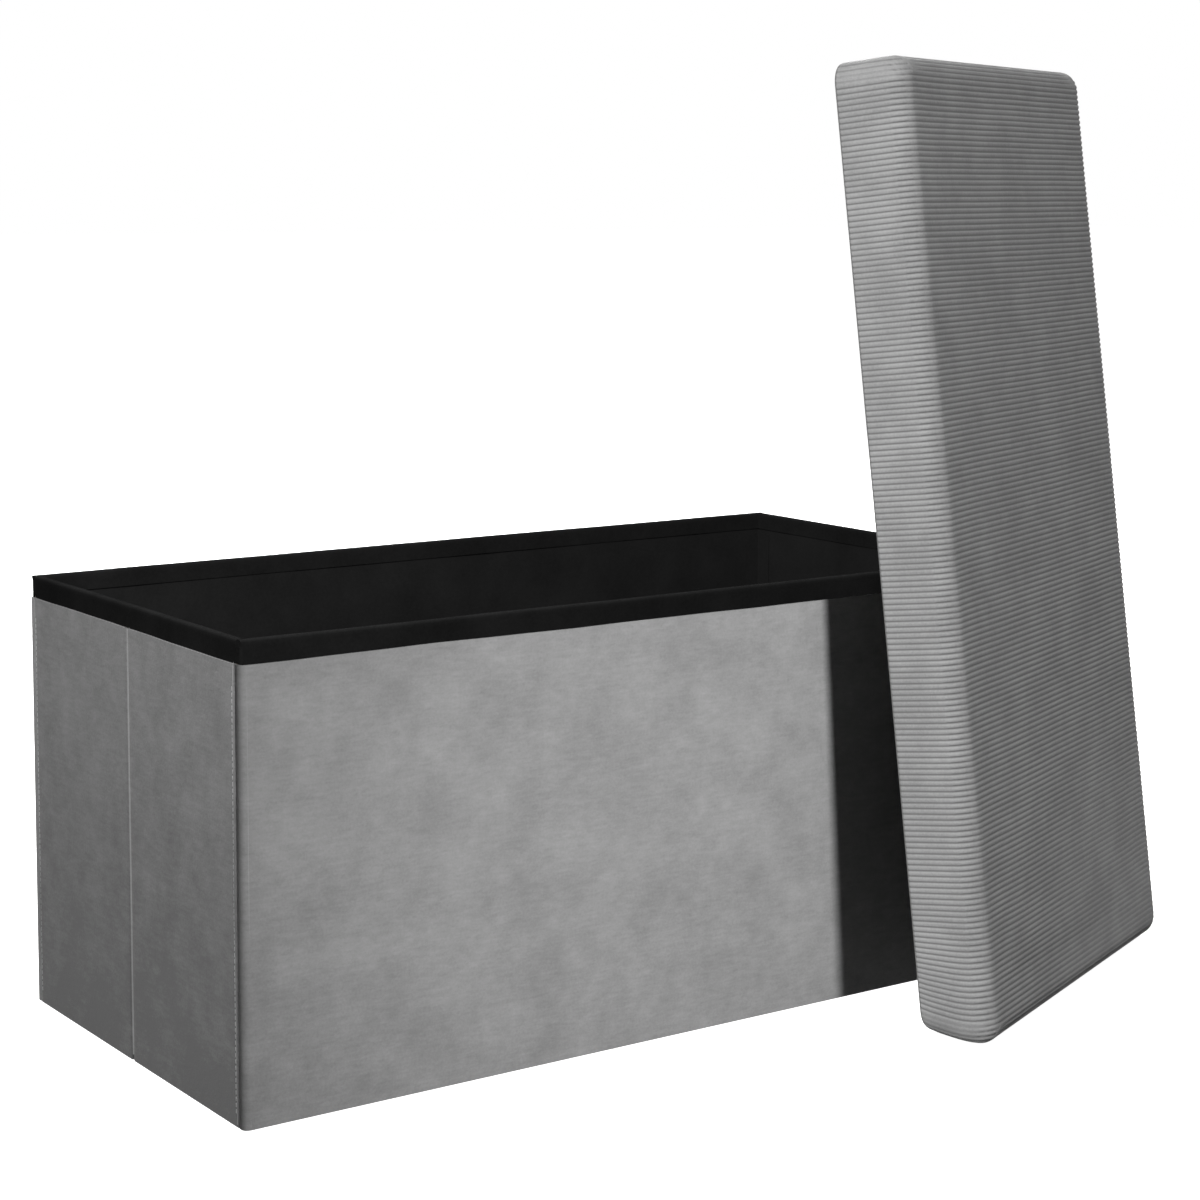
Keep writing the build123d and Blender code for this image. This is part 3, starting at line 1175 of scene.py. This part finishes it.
stored = lid_cover.data.attributes.new("rib_height", "FLOAT", "POINT")
stored.data.foreach_set("value", rib.astype(np.float32))
lid_cover.vertex_groups.clear()
bpy.data.objects.remove(pad)
move_to(lid_cover, ease_out_of_true(shaped))
stand_lid_piece(lid_cover)
dress(lid_cover, lid_corduroy, "lid", "lid_corduroy_cushion", 80)
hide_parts("lid_corduroy_cover", "lid_foam")
for side in ("foot", "head", "left", "right"):
    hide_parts(f"lid_{side}_skirt")

# %% [markdown]
# ## The lid's underside
# A sheet of black non-woven closes the hollow. Its border is turned under and
# stapled through the corduroy hem into the board, so it puckers a little
# between staples.

# %% Recess lining, puckered between staples
LINING_HALF_X = LID_LENGTH / 2 - HEM_INSIDE - 0.6 * MM
LINING_HALF_Y = LID_WIDTH / 2 - HEM_INSIDE - 0.6 * MM
STAPLE_STEP = 42 * MM

start_piece()
bpy.ops.mesh.primitive_grid_add(
    x_subdivisions=120,
    y_subdivisions=60,
    size=1,
    rotation=(math.pi, 0, 0),
    location=(0, 0, HOLLOW),
)
under = bpy.context.object
under.scale = (2 * LINING_HALF_X, 2 * LINING_HALF_Y, 1)
settle(under)
cloth = coordinates(under)
gap_x = LINING_HALF_X - np.abs(cloth[:, 0])
gap_y = LINING_HALF_Y - np.abs(cloth[:, 1])
edge = np.minimum(gap_x, gap_y)
run = np.where(gap_x < gap_y, cloth[:, 1], cloth[:, 0])
pucker = 0.5 * MM * (1 - np.cos(2 * math.pi * run / STAPLE_STEP)) / 2
pucker *= 1 - ease(edge, 3 * MM, 22 * MM)
slack = 0.5 * MM * (1 + waves(cloth[:, 0], cloth[:, 1], 6.0)) * ease(edge, 0, 0.06)
cloth[:, 2] -= pucker + 0.6 * slack
move_to(under, ease_out_of_true(cloth))
modify(under, "SOLIDIFY", thickness=LINING_THICK, offset=-1)
stand_lid_piece(under)
dress(under, black_lining, "lid", "lid_underside_lining")
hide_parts("lid_recess_lining")


# %% [markdown]
# The board behind the lining carries the lid. Its corners are cut round so that
# they don't wear through the cloth.

# %% Lid board
BOARD_SHY = 4.8 * MM
BOARD_CORNER = 24 * MM

start_piece()
bpy.ops.mesh.primitive_cube_add(size=1, location=(0, 0, BOARD_MIDDLE))
lid_board = bpy.context.object
lid_board.scale = (LID_LENGTH - 2 * BOARD_SHY, LID_WIDTH - 2 * BOARD_SHY, BOARD)
settle(lid_board)
for sx in (-1, 1):
    for sy in (-1, 1):
        round_edge(lid_board, lambda co: co.x * sx > 0 and co.y * sy > 0, BOARD_CORNER, 8)
move_to(lid_board, ease_out_of_true(coordinates(lid_board)))
stand_lid_piece(lid_board)
dress(lid_board, wall_board, "lid", "lid_base_board", 30)
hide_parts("lid_board")


# %% [markdown]
# Staples hold the lining's border. One is made from a bar, its ends rounded,
# and copied round the border, each turned a little as a hand tool leaves it.

# %% Staples round the underside
def staple_row(count_x, count_y, half_x, half_y):
    """One bent wire staple, copied round the border."""
    start_piece()
    bpy.ops.mesh.primitive_cube_add(size=1)
    wire = bpy.context.object
    wire.scale = (10 * MM, 1.1 * MM, 0.55 * MM)
    settle(wire)
    round_edge(wire, lambda co: abs(co.x) > 4 * MM, 0.2 * MM, 2)
    pieces = []
    for side in (-1, 1):
        for i in range(count_x):
            x = (i - (count_x - 1) / 2) * STAPLE_STEP
            pieces.append((x, side * half_y, 0.0))
        for i in range(count_y):
            y = (i - (count_y - 1) / 2) * STAPLE_STEP
            pieces.append((side * half_x, y, math.radians(90)))
    copies = []
    for number, (x, y, turn) in enumerate(pieces):
        copy = wire.copy()
        copy.data = wire.data.copy()
        bpy.context.collection.objects.link(copy)
        lean = 0.12 * math.sin(number * 2.4)
        copy.location = (x, y, HOLLOW - 0.55 * MM)
        copy.rotation_euler = (0, 0, turn + lean)
        copies.append(copy)
    bpy.data.objects.remove(wire)
    start_piece()
    for copy in copies:
        copy.select_set(True)
    bpy.context.view_layer.objects.active = copies[0]
    bpy.ops.object.join()
    return settle(bpy.context.object)


staples = staple_row(17, 8, LINING_HALF_X - 8 * MM, LINING_HALF_Y - 8 * MM)
move_to(staples, ease_out_of_true(coordinates(staples)))
stand_lid_piece(staples)
dress(staples, staple_steel, "lid", "lid_staples", 50)

# %% [markdown]
# ## The boards
# The boards keep their CAD shape, which is already right, and only get the
# finish of raw fibreboard.

# %% Boards keep their CAD shape
for cad_piece in frame["nodes"].values():
    if not cad_piece.hide_render:
        cad_piece.data.materials.clear()
        cad_piece.data.materials.append(wall_board)
print(sorted(n for n, o in frame["nodes"].items() if not o.hide_render))

# %% [markdown]
# ## Moving velvet gets meshes of its own
# At rest the velvet hangs over the edge of the bottom board. When the ends fold
# inwards, real velvet rides up over that edge. Each moving cover, with the beads
# on it, is given a mesh of its own.

# %% Give each moving velvet piece its own mesh
for piece in moving_velvet:
    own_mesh(piece)

# %% [markdown]
# ## Floor, light and camera
# The studio is a pale floor that runs into a pale background. The long wall is
# lit by one compact spot lamp, so the lid throws a band of shadow on it. The
# rest of the box and the lid are lit by large soft lamps from the left. A lamp
# can be told which pieces it lights, and that makes both possible.

# %% Floor
PAINT_CLOUD = 600 * MM


def floor_paint():
    material, tree, place = new_material("studio_floor_paint")
    pattern = add_node(tree, "TexNoise", {"Vector": place, "Scale": 1 / PAINT_CLOUD})
    shade = add_node(
        tree,
        "Mix",
        {0: pattern, 6: linear("f4f4f4"), 7: linear("fbfbfb")},
        2,
        data_type="RGBA",
    )
    shader = add_node(
        tree,
        "BsdfPrincipled",
        {
            "Base Color": shade,
            "Roughness": 0.9,
            "Emission Color": (1, 1, 1, 1),
            "Emission Strength": 1.0,
        },
    )
    add_node(tree, "OutputMaterial", {"Surface": shader})
    return material


start_piece()
bpy.ops.mesh.primitive_grid_add(
    x_subdivisions=12, y_subdivisions=12, size=60, location=(0, 0, -0.2 * MM)
)
floor = settle(bpy.context.object)
floor.name = "studio_floor"
floor.data.materials.append(floor_paint())
floor.visible_diffuse = False
print("floor", round(floor.dimensions.x), "m wide")

# %% World
AMBIENT = 0.085
world = bpy.data.worlds.new("studio_air")
world.use_nodes = True
air = world.node_tree
air.nodes.clear()
seen = add_node(air, "LightPath", output="Is Camera Ray")
strength = add_node(air, "MapRange", {0: seen, 3: AMBIENT, 4: 1.0})
glow = add_node(air, "Background", {"Color": (1, 1, 1, 1), "Strength": strength})
add_node(air, "OutputWorld", {"Surface": glow})
bpy.context.scene.world = world
bpy.context.scene.view_settings.view_transform = "Standard"
print("air lights the bench at", AMBIENT, "of what the camera sees behind it")


# %% Lamps
def studio_lamp(name, kind, azimuth, elevation, distance, power, aim):
    """A lamp aimed at a point; azimuth 0 is in front, 90 is to the right."""
    a, e = math.radians(azimuth), math.radians(elevation)
    back = Vector((math.sin(a) * math.cos(e), -math.cos(a) * math.cos(e), math.sin(e)))
    lamp = bpy.data.lights.new(name, kind)
    lamp.energy = power
    holder = bpy.data.objects.new(name, lamp)
    holder.location = Vector(aim) + back * distance
    holder.rotation_euler = (-back).to_track_quat("-Z", "Y").to_euler()
    bpy.context.collection.objects.link(holder)
    return holder


def soft_box(name, azimuth, elevation, distance, size, power):
    holder = studio_lamp(name, "AREA", azimuth, elevation, distance, power, (0, 0, 0.3))
    holder.data.shape = "DISK"
    holder.data.size = size
    return holder


def light_only(lamp, pieces, name):
    group = bpy.data.collections.new(name)
    for piece in pieces:
        group.objects.link(piece)
    lamp.light_linking.receiver_collection = group


wall_lamp = studio_lamp("wall_lamp", "SPOT", -9, 9, 3.2, 530, (0.14, -0.187, 0.22))
wall_lamp.data.spot_size = math.radians(31)
wall_lamp.data.spot_blend = 1.0
wall_lamp.data.shadow_soft_size = 0.17
box_lamp = soft_box("box_lamp", -46, 48, 2.0, 0.9, 58)
lid_lamp = soft_box("lid_lamp", -46, 27, 3.8, 1.0, 162)
soft_box("back_lamp", 150, 35, 4.0, 2.0, 90)
on_lid, on_box = [], []
for piece in bpy.context.scene.objects:
    if piece.type == "MESH" and piece not in (covers["front"], *front_beads):
        (on_lid if piece.name.startswith("lid_") else on_box).append(piece)
light_only(wall_lamp, [covers["front"], *front_beads], "lit_by_wall_lamp")
light_only(box_lamp, on_box, "lit_by_box_lamp")
light_only(lid_lamp, on_lid, "lit_by_lid_lamp")
print(len(on_box), "box pieces and", len(on_lid), "lid pieces have their own lamp")

# %% [markdown]
# ## The camera
# The camera stands in front of the left end, a little above the lid's middle,
# and looks slightly down through a long lens. A small shift keeps the bench in
# the middle of the frame without tipping the upright edges.

# %% Camera
CAMERA_PLACE = (-1.2095, -1.8162, 0.6754)
LOOK_YAW = math.radians(34.913)
LOOK_DOWN = math.radians(6.009)
ROLL = math.radians(0.219)
camera_data = bpy.data.cameras.new("studio_camera")
camera = bpy.data.objects.new("studio_camera", camera_data)
bpy.context.collection.objects.link(camera)
camera.location = CAMERA_PLACE
look = Vector(
    (
        math.sin(LOOK_YAW) * math.cos(LOOK_DOWN),
        math.cos(LOOK_YAW) * math.cos(LOOK_DOWN),
        -math.sin(LOOK_DOWN),
    )
)
right = Vector((math.cos(LOOK_YAW), -math.sin(LOOK_YAW), 0))
up = right.cross(look)
turned_right = right * math.cos(ROLL) + up * math.sin(ROLL)
turned_up = up * math.cos(ROLL) - right * math.sin(ROLL)
camera.rotation_mode = "QUATERNION"
camera.rotation_quaternion = (Matrix((turned_right, turned_up, -look)).transposed().to_quaternion())
camera_data.lens = 78.52
camera_data.shift_y = -0.117
camera_data.clip_end = 100
bpy.context.scene.camera = camera
print("camera", round((camera.location - lid_middle).length, 2), "m from the lid")
